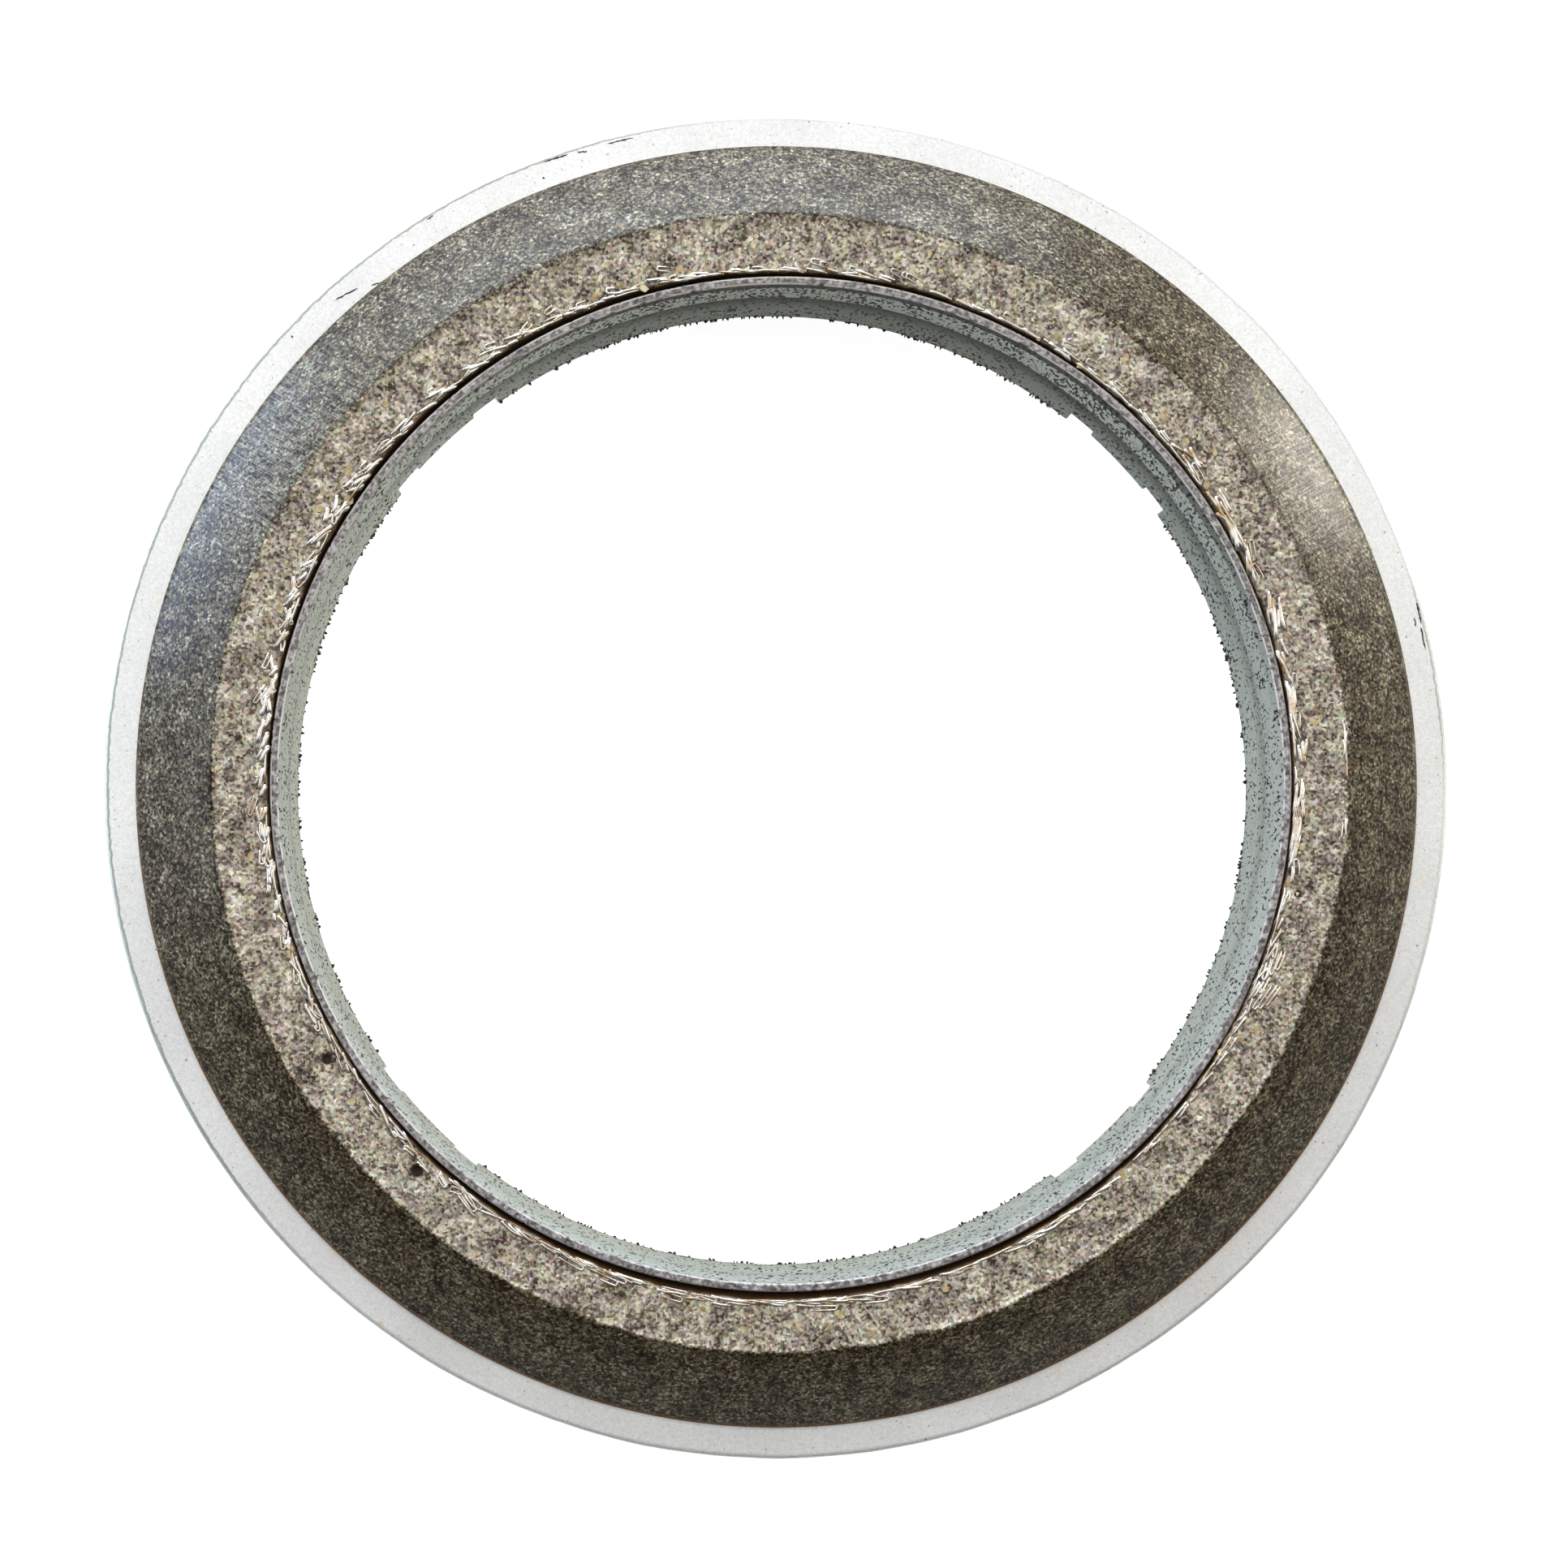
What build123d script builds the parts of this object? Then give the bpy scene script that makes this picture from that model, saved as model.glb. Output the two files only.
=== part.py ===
from build123d import *
import math
import os

# Exhaust pipe flange gasket, in millimetres.
# The axis is Z, z = 0 is the lower end of the sleeve, and the sealing side is up.

# Sleeve: thin steel tube, swaged to a narrower neck above the flange
neck_bore_radius = 25.75  # goes over a 50.8 mm pipe
sleeve_sheet = 0.45
swage_step = 0.25  # how much wider the spigot is than the neck
swage_bend_radius = 0.1  # inside radius of its two bends
spigot_length = 7.85  # lower end of the sleeve up to the flange's lower face
rim_recess = 0.2  # sleeve's sheared top edge, below the ring's flat top
rim_edge_round = 0.12

# Retaining tabs lanced in the spigot's lower end and bent outwards
tab_count = 4
tab_width = 4.2
tab_azimuth = 43.7
tab_angle = 35.0
tab_flap_length = 1.25  # from the bend to the tip
tab_bend_height = 1.1  # bend above the spigot's lower end
tab_bend_radius = 0.25  # inside radius
slot_width = 1.5
slot_depth = 2.4

# Flange: flat steel ring, punched from sheet
flange_thickness = 1.2
flange_projection = 1.7  # beyond the sealing ring
flange_edge_round = 0.3  # rolled-over edge of the punched sheet, on top

# Sealing ring: knitted wire and mica filler pressed to one solid ring
flat_width = 2.82
seat_width = 4.35
seat_sphere_radius = 49.0
seat_land_height = 0.2
bore_lip_gap = 0.18  # open gap round the sleeve's rim
bore_lip_depth = 1.2

fit_clearance = 0.05  # flange and sealing ring round the neck

# Radii that follow from these sizes
neck_outer_radius = neck_bore_radius + sleeve_sheet
spigot_bore_radius = neck_bore_radius + swage_step
spigot_outer_radius = neck_outer_radius + swage_step
carried_bore_radius = neck_outer_radius + fit_clearance
flat_inner_radius = neck_outer_radius + bore_lip_gap
flat_outer_radius = flat_inner_radius + flat_width
seat_outer_radius = flat_outer_radius + seat_width
flange_outer_radius = seat_outer_radius + flange_projection

# Heights that follow from these sizes
seat_drop = math.sqrt(seat_sphere_radius**2 - flat_outer_radius**2) - math.sqrt(
    seat_sphere_radius**2 - seat_outer_radius**2
)
flange_top = spigot_length + flange_thickness
ring_top = flange_top + seat_land_height + seat_drop
rim_top = ring_top - rim_recess


def spun(section):
    """Full ring made by turning a section in the XZ plane about the Z axis."""
    return revolve(section, axis=Axis.Z)


def sealing_ring():
    """Pressed ring: flat top, spherical seat, short land, and a bore that opens at its lip."""
    with BuildSketch(Plane.XZ) as section:
        with BuildLine():
            base = Line((carried_bore_radius, flange_top), (seat_outer_radius, flange_top))
            land = Line(base @ 1, (seat_outer_radius, flange_top + seat_land_height))
            seat = RadiusArc(land @ 1, (flat_outer_radius, ring_top), -seat_sphere_radius)
            flat = Line(seat @ 1, (flat_inner_radius, ring_top))
            lip = Line(flat @ 1, (carried_bore_radius, ring_top - bore_lip_depth))
            Line(lip @ 1, base @ 0)
        make_face()
    return spun(section.sketch)


def flange_ring():
    """Flat ring whose top outer edge is rolled over and whose bore is bevelled for the swage."""
    with BuildSketch(Plane.XZ) as section:
        with BuildLine():
            Polyline(
                (carried_bore_radius + swage_step, spigot_length),
                (flange_outer_radius, spigot_length),
                (flange_outer_radius, flange_top),
                (carried_bore_radius, flange_top),
                (carried_bore_radius, spigot_length + swage_step),
                close=True,
            )
        make_face()
        outer_edge = section.vertices().group_by(Axis.X)[-1]
        fillet(outer_edge.sort_by(Axis.Y)[-1], flange_edge_round)
    return spun(section.sketch)


def sheet_section(bore_line, bend_radii, rim_round=0):
    """Section of the sleeve's sheet: its bore line with rounded bends, thickened outwards."""
    with BuildSketch(Plane.XZ) as section:
        with BuildLine():
            bore_face = FilletPolyline(*bore_line, radius=bend_radii)
            offset(bore_face, amount=sleeve_sheet, side=Side.LEFT)
        make_face()
        if rim_round > 0:
            fillet(section.vertices().group_by(Axis.Y)[-1], rim_round)
    return section.sketch


def sleeve_tube():
    """Neck, swaged shoulder and spigot as one turned sheet with a rounded rim."""
    # the outer face of the shoulder starts level with the top of the flange's bevel
    half_bend = math.radians(45 / 2)
    shoulder_top = spigot_length + swage_step - sleeve_sheet * math.tan(half_bend)
    section = sheet_section(
        (
            (neck_bore_radius, rim_top),
            (neck_bore_radius, shoulder_top),
            (spigot_bore_radius, shoulder_top - swage_step),
            (spigot_bore_radius, 0),
        ),
        [swage_bend_radius + sleeve_sheet, swage_bend_radius],
        rim_edge_round,
    )
    return spun(section)


def bent_tab():
    """One tab: a part turn of a sheet that goes straight down and then bends outwards."""
    lean = math.radians(tab_angle)
    tip = (
        spigot_bore_radius + tab_flap_length * math.sin(lean),
        tab_bend_height - tab_flap_length * math.cos(lean),
    )
    section = sheet_section(
        ((spigot_bore_radius, slot_depth), (spigot_bore_radius, tab_bend_height), tip),
        [tab_bend_radius + sleeve_sheet],
    )
    arc = math.degrees(tab_width / spigot_bore_radius)
    return Rot(Z=-arc / 2) * revolve(section, axis=Axis.Z, revolution_arc=arc)


def sleeve():
    """Sleeve with its lanced tabs, each between two relief slots."""
    window = Pos(spigot_outer_radius, 0, 0) * Box(
        4 * sleeve_sheet + 2 * swage_step,
        tab_width + 2 * slot_width,
        2 * slot_depth,
    )
    tube = sleeve_tube()
    for index in range(tab_count):
        turn = Rot(Z=tab_azimuth + index * 360 / tab_count)
        tube = tube - turn * window
        tube = tube + turn * bent_tab()
    return tube


os.makedirs("parts", exist_ok=True)
export_step(sealing_ring(), "parts/sealing_ring.step")
export_step(flange_ring(), "parts/flange_ring.step")
export_step(sleeve(), "parts/sleeve.step")
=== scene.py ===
import math

import bpy
import numpy as np
from mathutils import Matrix, Vector


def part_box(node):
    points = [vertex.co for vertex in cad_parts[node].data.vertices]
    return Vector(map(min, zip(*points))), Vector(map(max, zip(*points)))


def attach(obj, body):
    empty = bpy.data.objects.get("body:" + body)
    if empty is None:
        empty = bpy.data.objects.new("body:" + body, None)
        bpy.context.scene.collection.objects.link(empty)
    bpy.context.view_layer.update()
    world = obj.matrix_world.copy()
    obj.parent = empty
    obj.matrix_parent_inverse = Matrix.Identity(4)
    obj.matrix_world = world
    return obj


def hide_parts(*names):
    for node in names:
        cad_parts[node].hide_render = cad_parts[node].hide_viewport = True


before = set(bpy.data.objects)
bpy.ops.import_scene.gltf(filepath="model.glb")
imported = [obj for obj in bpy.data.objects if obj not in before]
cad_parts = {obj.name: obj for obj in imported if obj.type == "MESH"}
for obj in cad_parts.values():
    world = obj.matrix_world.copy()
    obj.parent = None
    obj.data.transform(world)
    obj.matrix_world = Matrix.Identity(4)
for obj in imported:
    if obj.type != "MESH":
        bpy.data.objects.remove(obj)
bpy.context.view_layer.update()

# Exhaust pipe flange gasket. Lengths in this file are millimetres until a mesh is made,
# and angles are measured from +X towards +Y. The sealing side is up.
MM = 0.001

# Pressed ring
ring_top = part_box("sealing_ring")[1].z / MM
ring_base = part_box("sealing_ring")[0].z / MM
carried_bore = 26.25
flat_inner = 26.38
flat_outer = 29.20
seat_outer = 33.55
seat_sphere = 49.0
seat_land = 0.2
lip_depth = 1.2

# Flange
flange_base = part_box("flange_ring")[0].z / MM
flange_outer = 35.24
flange_bore = 26.25
flange_bevel = 0.25
flange_roll = 0.2

# Sleeve, with its two swage bends given by their radius on the bore face
neck_bore = 25.75
spigot_bore = 26.0
swage_step = spigot_bore - neck_bore
swage_bends = (0.55, 0.10)
sheet = 0.45
sheet_edge_round = 0.12
rim_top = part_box("sleeve")[1].z / MM
shoulder_top = 7.914
tab_azimuth = 43.7
tab_half = 2.1
slot_wide = 1.5
slot_top = 2.4
tab_bend = 1.1
tab_bend_radius = 0.7
tab_flap = 1.25
tab_angle = math.radians(35)

TURN = 2 * math.pi


def clock(degrees):
    """Angle from +X of a direction given clockwise from +Y, as on a clock face."""
    return np.radians(90.0 - np.asarray(degrees, float))


def smooth(x):
    """Smoothstep: 0 below 0, 1 above 1, and 3x^2 - 2x^3 between."""
    x = np.clip(x, 0.0, 1.0)
    return x * x * (3.0 - 2.0 * x)


def ring_noise(angle, across, cell, seed, radius=29.0):
    """Smooth value noise from -1 to 1 that closes round the ring.

    Random heights stand on a lattice `cell` mm wide, round the ring and across it,
    and are blended by a smoothstep in both directions.
    """
    count = max(3, int(round(TURN * radius / cell)))
    u = np.mod(angle / TURN, 1.0) * count
    v = across / cell + 40.0
    iu, iv = np.floor(u).astype(int), np.floor(v).astype(int)
    fu, fv = smooth(u - iu), smooth(v - iv)
    heights = np.random.default_rng(seed).uniform(-1, 1, (count, int(iv.max()) + 2))
    low = heights[iu % count, iv] * (1 - fu) + heights[(iu + 1) % count, iv] * fu
    high = heights[iu % count, iv + 1] * (1 - fu) + heights[(iu + 1) % count, iv + 1] * fu
    return low * (1 - fv) + high * fv


def dapple(angle, across, cell, seed, radius=29.0):
    """The same noise from 0 to 1, on the full grid of its angles and places across."""
    return 0.5 + 0.5 * ring_noise(angle + 0 * across, across + 0 * angle, cell, seed, radius)


def flakes(angle, across, cell, seed, radius=28.0):
    """Cells of pressed flakes: each point takes the tone and tilt of its nearest jittered site.

    Returns the tone from 0 to 1, and a relief that is a small random plane on every cell.
    """
    count = int(round(TURN * radius / cell))
    u = np.mod(angle / TURN, 1.0) * count
    v = across / cell + 10.0
    rng = np.random.default_rng(seed)
    rows = int(np.floor(v).max()) + 3
    jitter = rng.uniform(0.05, 0.95, (count, rows, 2))
    tone = rng.uniform(0, 1, (count, rows))
    tilt = rng.uniform(-1, 1, (count, rows, 3))
    nearest = np.full(u.shape, 9.0)
    got_tone = np.zeros(u.shape)
    relief = np.zeros(u.shape)
    for du in (-1, 0, 1):
        for dv in (-1, 0, 1):
            cu = np.floor(u).astype(int) + du
            cv = np.clip(np.floor(v).astype(int) + dv, 0, rows - 1)
            site = jitter[cu % count, cv]
            offset_u, offset_v = u - cu - site[..., 0], v - cv - site[..., 1]
            distance = np.hypot(offset_u, offset_v)
            closer = distance < nearest
            nearest = np.where(closer, distance, nearest)
            plane = tilt[cu % count, cv]
            height = plane[..., 0] * 0.6 + plane[..., 1] * offset_u + plane[..., 2] * offset_v
            got_tone = np.where(closer, tone[cu % count, cv], got_tone)
            relief = np.where(closer, height, relief)
    return got_tone, relief


def new_object(name, points, quads, material, body="root", replaced=None, marks=None):
    """Mesh of quads from a point array in mm. `marks` are per-point attributes by name."""
    mesh = bpy.data.meshes.new(name)
    points = np.asarray(points, float).reshape(-1, 3)
    quads = np.asarray(quads, np.int32).reshape(-1, 4)
    mesh.vertices.add(len(points))
    mesh.vertices.foreach_set("co", (points * MM).ravel())
    mesh.loops.add(quads.size)
    mesh.loops.foreach_set("vertex_index", quads.ravel())
    mesh.polygons.add(len(quads))
    mesh.polygons.foreach_set("loop_start", np.arange(0, quads.size, 4, dtype=np.int32))
    mesh.polygons.foreach_set("loop_total", np.full(len(quads), 4, np.int32))
    mesh.update(calc_edges=True)
    mesh.validate()
    mesh.shade_smooth()
    for mark, values in (marks or {}).items():
        layer = mesh.attributes.new(mark, "FLOAT_VECTOR", "POINT")
        layer.data.foreach_set("vector", np.asarray(values, float).reshape(-1, 3).ravel())
    mesh.materials.append(material)
    piece = bpy.data.objects.new(name, mesh)
    bpy.context.scene.collection.objects.link(piece)
    if body:
        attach(piece, body)
    if replaced:
        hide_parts(replaced)
    return piece


def turned_quads(rows, columns, closed_profile):
    """Quads of a grid that closes round the axis, and along its profile where that is closed."""
    row = np.arange(rows if closed_profile else rows - 1)
    column = np.arange(columns)
    i, j = np.meshgrid(row, column, indexing="ij")
    i2, j2 = (i + 1) % rows, (j + 1) % columns
    return np.stack([i * columns + j, i * columns + j2, i2 * columns + j2, i2 * columns + j], -1)


def on_ring(radius, angle, height):
    """Points at a radius and height round the axis."""
    radius, angle, height = np.broadcast_arrays(radius, angle, height)
    return np.stack([radius * np.cos(angle), radius * np.sin(angle), height], -1)


def steps(start, end, count, last=False):
    """Evenly spaced values; the end belongs to the next run unless `last` is set."""
    return np.linspace(start, end, count, endpoint=last)


def rounded_line(corners, radii, count=5):
    """Line through corners whose inner ones are rounded: each is a short parabola that leaves
    and meets its two runs a tangent length, radius x tan(half the turn), from the corner."""
    corners = [np.array(c, float) for c in corners]
    line = [corners[0]]
    for before, corner, after, radius in zip(corners, corners[1:], corners[2:], radii):
        toward, away = before - corner, after - corner
        toward, away = toward / np.linalg.norm(toward), away / np.linalg.norm(away)
        half_turn = (math.pi - math.acos(np.clip(toward @ away, -1, 1))) / 2
        cut = radius * math.tan(half_turn)
        t = np.linspace(0, 1, count)[:, None]
        first, second = corner + toward * cut, corner + away * cut
        line.extend((1 - t) ** 2 * first + 2 * t * (1 - t) * corner + t**2 * second)
    line.append(corners[-1])
    return np.array(line)


def spaced(line, distances):
    """Points at given distances along a line of points."""
    length = np.concatenate([[0], np.cumsum(np.linalg.norm(np.diff(line, axis=0), axis=1))])
    return np.stack([np.interp(distances, length, line[:, k]) for k in range(2)], -1)


def colour(code):
    """Linear colour of an sRGB hex value."""
    values = [int(code[i:i + 2], 16) / 255 for i in (1, 3, 5)]
    linear = [v / 12.92 if v <= 0.04045 else ((v + 0.055) / 1.055) ** 2.4 for v in values]
    return (*linear, 1.0)


def join(tree, node, links):
    """Links sources to a node's sockets. A node given as a source stands for its output in use."""
    for key, source in links.items():
        if hasattr(source, "outputs"):
            source = next(output for output in source.outputs if output.enabled)
        tree.links.new(source, node.inputs[key])


def add(tree, kind, settings=None, links=None):
    """Adds one node: settings go to its sockets and properties, links join its sockets.

    A second word in `kind` is what the node works out, or the data that it mixes. "stops" are
    the places and colours of a ramp. "range" is where a value comes from and, if not 0 to 1,
    where it goes.
    """
    kind, _, work = kind.partition(" ")
    node = tree.nodes.new("ShaderNode" + kind)
    if work:
        setattr(node, "data_type" if kind == "Mix" else "operation", work)
    for key, value in (settings or {}).items():
        if key == "stops":
            ramp = node.color_ramp.elements
            while len(ramp) < len(value):
                ramp.new(0.5)
            for stop, (place, code) in zip(ramp, value):
                stop.position = place
                stop.color = colour(code)
        elif key == "range":
            for place, limit in enumerate(value, 1):
                node.inputs[place].default_value = limit
        elif isinstance(key, int) or key in node.inputs:
            hex_colour = isinstance(value, str) and value.startswith("#")
            node.inputs[key].default_value = colour(value) if hex_colour else value
        else:
            setattr(node, key, value)
    join(tree, node, links or {})
    return node


def empty_tree(owner):
    """Node tree of a material or a world, with nothing in it."""
    owner.use_nodes = True
    owner.node_tree.nodes.clear()
    return owner.node_tree


def new_material(name, settings=None):
    """Material with its shader and output. Returns the material, its tree and the shader."""
    material = bpy.data.materials.new(name)
    tree = empty_tree(material)
    shader = add(tree, "BsdfPrincipled", settings)
    add(tree, "OutputMaterial", links={"Surface": shader})
    return material, tree, shader


def per(size):
    """Texture scale, per metre, that makes one cell of a pattern `size` mm wide."""
    return 1.0 / (size * MM)


def marked(tree, name):
    """The three numbers that a mesh holds at each point under this name."""
    mark = add(tree, "Attribute", {"attribute_name": name}).outputs["Vector"]
    return add(tree, "SeparateXYZ", links={0: mark}).outputs


def rubbed(tree, place, at, half_width):
    """Fine scratches up the slope of the seat, round one clock direction, where a painted highlight
    also goes.

    The mask is stretched noise, in cells 0.06 mm across and 1.3 mm up the slope, that fades out
    at `half_width` mm to either side.
    """
    across, up_slope = 0.06, 1.3
    turned = add(tree, "Mapping", {"vector_type": "TEXTURE", "Rotation": (0, 0, float(clock(at))),
                                   "Scale": (up_slope * MM, across * MM, up_slope * MM)},
                 {"Vector": place})
    streaks = add(tree, "TexNoise", {"Scale": 1.0, "Detail": 3.0}, {"Vector": turned})
    streaks = add(tree, "MapRange", {"range": (0.46, 0.70)}, {"Value": streaks})
    ahead, aside, _ = add(tree, "SeparateXYZ", links={0: turned}).outputs
    aside = add(tree, "Math ABSOLUTE", {}, {0: aside})
    near = add(tree, "MapRange", {"range": (half_width / across, half_width / 0.2)},
               {"Value": aside})
    ahead = add(tree, "Math GREATER_THAN", {1: 0.0}, {0: ahead})
    window = add(tree, "Math MULTIPLY", {}, {0: near, 1: ahead})
    return add(tree, "Math MULTIPLY", {}, {0: streaks, 1: window})


def pressed_mesh_finish():
    """Knitted steel wire with mica and graphite, pressed in a die.

    The flat keeps its flakes: tan, cream and violet-brown grains with fine glints. The seat
    was rubbed smooth in the die: dark graphite with small light specks of cut wire.
    """
    material, tree, shader = new_material("pressed_mica_graphite_wire", {"IOR": 1.5})
    place = add(tree, "TexCoord").outputs["Object"]
    flat_side, tone, depth = marked(tree, "press")
    from_lip, in_gap, _ = marked(tree, "lip")
    # flakes 0.14 mm wide, as the photo's grain
    grain = add(tree, "TexVoronoi", {"Scale": per(0.14)}, {"Vector": place})
    grain_tone = add(tree, "SeparateColor", links={0: grain.outputs["Color"]})
    clouds, dust, patches, lean = [
        add(tree, "TexNoise", {"Scale": per(size), "Detail": detail}, {"Vector": place})
        for size, detail in ((1.3, 3.0), (0.14, 2.0), (0.9, 2.0), (0.4, 3.0))]
    mixed = add(tree, "Math MULTIPLY", {1: 0.26}, {0: tone})
    for part, weight in ((grain_tone, 0.54), (clouds, 0.72), (dust, 0.45)):
        mixed = add(tree, "Math MULTIPLY_ADD", {1: weight}, {0: part, 2: mixed})
    level = add(tree, "MapRange", {"range": (0.60, 1.41)}, {"Value": mixed})
    grey_side = add(tree, "ValToRGB", {"stops": [
        (0.0, "#352a26"), (0.22, "#64564e"), (0.42, "#8e8274"), (0.62, "#b3a794"),
        (0.82, "#d4c9b3"), (1.0, "#f6efdf")]}, {"Fac": level})
    cream_side = add(tree, "ValToRGB", {"stops": [
        (0.0, "#3c3128"), (0.22, "#6d5f4f"), (0.42, "#968974"), (0.62, "#bbae96"),
        (0.82, "#dacfb6"), (1.0, "#f6efdc")]}, {"Fac": level})
    patch = add(tree, "MapRange", {"range": (0.46, 0.58)}, {"Value": patches})
    flat_colour = add(tree, "Mix RGBA", {}, {0: patch, 6: grey_side, 7: cream_side})
    # the seat: 0.16 mm specks and the same grains over clouds, much darker than the flat
    speck = add(tree, "TexNoise", {"Scale": per(0.16), "Detail": 3.0, "Roughness": 0.7},
                {"Vector": place})
    seat_level = speck
    for part, weight in ((clouds, 0.35), (grain_tone, 0.36)):
        seat_level = add(tree, "Math MULTIPLY_ADD", {1: weight}, {0: part, 2: seat_level})
    seat_level = add(tree, "MapRange", {"range": (0.55, 1.17)}, {"Value": seat_level})
    seat_colour = add(tree, "ValToRGB", {"stops": [
        (0.0, "#090602"), (0.30, "#271c0f"), (0.50, "#413622"), (0.68, "#5e5339"),
        (0.85, "#80785e"), (1.0, "#aea791")]}, {"Fac": seat_level})
    # scratches at the upper left and the upper right, with the seat painted lighter there as a
    # painted highlight
    left_scratch_highlight = rubbed(tree, place, 303, 9.0)
    right_scratch_highlight = rubbed(tree, place, 60, 6.5)
    scratches_and_highlight = add(tree, "Math MAXIMUM", {}, {0: left_scratch_highlight, 1: right_scratch_highlight})
    scratches_and_highlight = add(tree, "Math MULTIPLY", {1: 0.45}, {0: scratches_and_highlight})
    scratched_and_highlit = add(tree, "Mix RGBA", {7: "#a8a08c"}, {0: scratches_and_highlight, 6: seat_colour})
    border = add(tree, "Math MULTIPLY_ADD", {1: 0.35}, {0: dust, 2: flat_side})
    on_flat = add(tree, "MapRange", {"range": (0.10, 0.24)}, {"Value": border})
    both = add(tree, "Mix RGBA", {}, {0: on_flat, 6: scratched_and_highlit, 7: flat_colour})
    # grains half a millimetre wide lean to straw, violet or slate
    lean = add(tree, "VectorMath MULTIPLY_ADD", {1: (0.55, 0.45, 0.65), 2: (0.725, 0.775, 0.675)},
               {0: lean.outputs["Color"]})
    hued = add(tree, "VectorMath MULTIPLY", {}, {0: both, 1: lean})
    # a thin line of rust where the seat's foot meets the flange, only on its -Y half
    _, north, height = add(tree, "SeparateXYZ", links={0: place}).outputs
    foot = add(tree, "MapRange", {"range": ((ring_base + 0.32) * MM, (ring_base + 0.27) * MM)},
               {"Value": height})
    rusty = add(tree, "MapRange", {"range": (8.0 * MM, -24.0 * MM, 0.0, 0.7)}, {"Value": north})
    foot = add(tree, "Math MULTIPLY", {}, {0: foot, 1: rusty})
    footed = add(tree, "Mix RGBA", {7: "#8f5f30"}, {0: foot, 6: hued})
    # pits and hollows are painted dark: dark graphite, and painted shade in the recesses
    hollow_shade = add(tree, "MapRange", {"range": (0.12, 0.28)}, {"Value": depth})
    dark = add(tree, "Mix RGBA", {7: "#33271c"}, {0: hollow_shade, 6: footed})
    # the lip of the bore is worn to bare amber-tinted wire in places
    worn = add(tree, "MapRange", {"range": (0.10, 0.03)}, {"Value": from_lip})
    broken = add(tree, "MapRange", {"range": (0.42, 0.52)}, {"Value": patches})
    amber = add(tree, "Math MULTIPLY", {}, {0: worn, 1: broken})
    lipped = add(tree, "Mix RGBA", {7: "#b2946a"}, {0: amber, 6: dark})
    # the wall of the gap round the sleeve is dark brown
    inside = add(tree, "MapRange", {"range": (0.4, 0.9)}, {"Value": in_gap})
    walled = add(tree, "Mix RGBA", {7: "#4a321a"}, {0: inside, 6: lipped})
    rough = add(tree, "MapRange", {"range": (0.0, 1.0, 0.28, 0.60)}, {"Value": on_flat})
    for part, weight in ((grain_tone, 0.2), (scratches_and_highlight, -0.18)):
        rough = add(tree, "Math MULTIPLY_ADD", {1: weight}, {0: part, 2: rough})
    glint = add(tree, "MapRange", {"range": (0.86, 0.92)}, {"Value": grain_tone})
    glint = add(tree, "Math MULTIPLY", {1: 0.45}, {0: glint})
    relief = add(tree, "MapRange", {"range": (0.0, 1.0, 0.28, 0.8)}, {"Value": on_flat})
    coarse = add(tree, "Bump", {"Distance": 0.025 * MM}, {"Height": grain_tone, "Strength": relief})
    fine = add(tree, "Bump", {"Distance": 0.03 * MM},
               {"Height": speck, "Strength": relief, "Normal": coarse})
    # carbon-dark specks hardly shine, and the pale ones are polished metal and mica
    shine = add(tree, "MapRange", {"range": (0.20, 0.85, 0.12, 0.50)}, {"Value": seat_level})
    join(tree, shader, {"Base Color": walled, "Roughness": rough, "Metallic": glint,
                        "Normal": fine, "Specular IOR Level": shine})
    return material


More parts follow.
